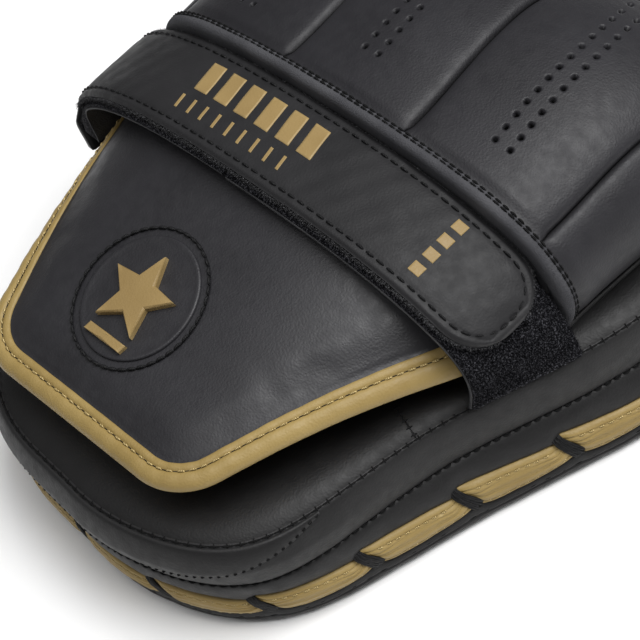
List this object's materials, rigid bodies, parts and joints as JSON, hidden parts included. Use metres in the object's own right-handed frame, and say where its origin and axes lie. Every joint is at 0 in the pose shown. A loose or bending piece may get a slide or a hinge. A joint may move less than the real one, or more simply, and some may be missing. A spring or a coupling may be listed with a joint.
{
  "type": "focus mitt",
  "caption": "Padded focus mitt for boxing training with a finger hood, a padded wrist cuff, a two-part hook-and-loop hand strap and a laced rim strip.",
  "frame": {"origin": "middle of the pad's outline on the plane of the strike face", "axes": "+X to the thumb side, +Y to the finger end, +Z from the strike face to the back of the hand"},
  "size_m": [0.2259, 0.2555, 0.1005],
  "materials": {
    "black_leather": "matte fine grain",
    "hood_leather": "matte fine grain",
    "cuff_leather": "matte fine grain",
    "strap_leather": "matte fine grain",
    "gold_leather": "matte",
    "gold_emblem": "matte moulded",
    "black_thread": "twisted thread",
    "hook_tape": "hook tape",
    "loop_tape": "brushed loop pile",
    "ribbed_binding": "ribbed weave",
    "lining_fabric": "woven",
    "foam": "closed-cell foam",
    "stiffener": "matte"
  },
  "bodies": {
    "pad": {"strike_face_cover": "black_leather", "front_gusset": "black_leather", "gold_rim_strip": "gold_leather", "rim_lacing": "black_thread", "mid_gusset": "black_leather", "rear_gusset": "black_leather", "wrist_end_panel": "black_leather", "back_panel": "black_leather", "impact_foam": "foam", "core_foam": "foam", "stiffener_sheet": "stiffener", "rear_foam": "foam", "hand_lining": "lining_fabric", "palm_cushion": "lining_fabric", "grip_ball": "lining_fabric", "hood_shell": "hood_leather", "hood_padding": "foam", "hood_lining": "lining_fabric", "hood_hem_binding": "ribbed_binding", "strap_root_tab": "strap_leather", "loop_strap_root_tab": "loop_tape"},
    "strap": {"strap_cover": "strap_leather", "strap_hook_tape": "hook_tape"},
    "strap_tip": {"strap_tip_cover": "strap_leather", "strap_tip_hook_tape": "hook_tape"},
    "loop_strap": {"loop_strap_pile": "loop_tape", "loop_strap_web": "loop_tape"},
    "cuff": {"cuff_cover": "cuff_leather", "cuff_padding": "foam", "cuff_lining": "lining_fabric", "cuff_binding": "gold_leather", "badge_base": "cuff_leather", "badge_emblem": "gold_emblem"}
  },
  "joints": [
    {"name": "strap_opening", "type": "hinge", "parent": "pad", "child": "strap", "pos_m": [-0.101, 0, 0.0502], "axis": [0, -1, 0], "range_deg": [0, 120]},
    {"name": "strap_tip_peel", "type": "hinge", "parent": "strap", "child": "strap_tip", "pos_m": [0.022, 0, 0.0947], "axis": [0, -1, 0], "range_deg": [0, 60]},
    {"name": "loop_strap_swing", "type": "hinge", "parent": "pad", "child": "loop_strap", "pos_m": [0.097, 0, 0.0502], "axis": [0, 1, 0], "range_deg": [0, 96]},
    {"name": "cuff_lift", "type": "hinge", "parent": "pad", "child": "cuff", "pos_m": [0, 0.008, 0.0875], "axis": [-1, 0, 0], "range_deg": [0, 24]}
  ],
  "couplings": [
    {"joint": "loop_strap_swing", "follows": "strap_opening", "ratio": 0.8},
    {"joint": "cuff_lift", "follows": "strap_opening", "ratio": 0.2}
  ]
}
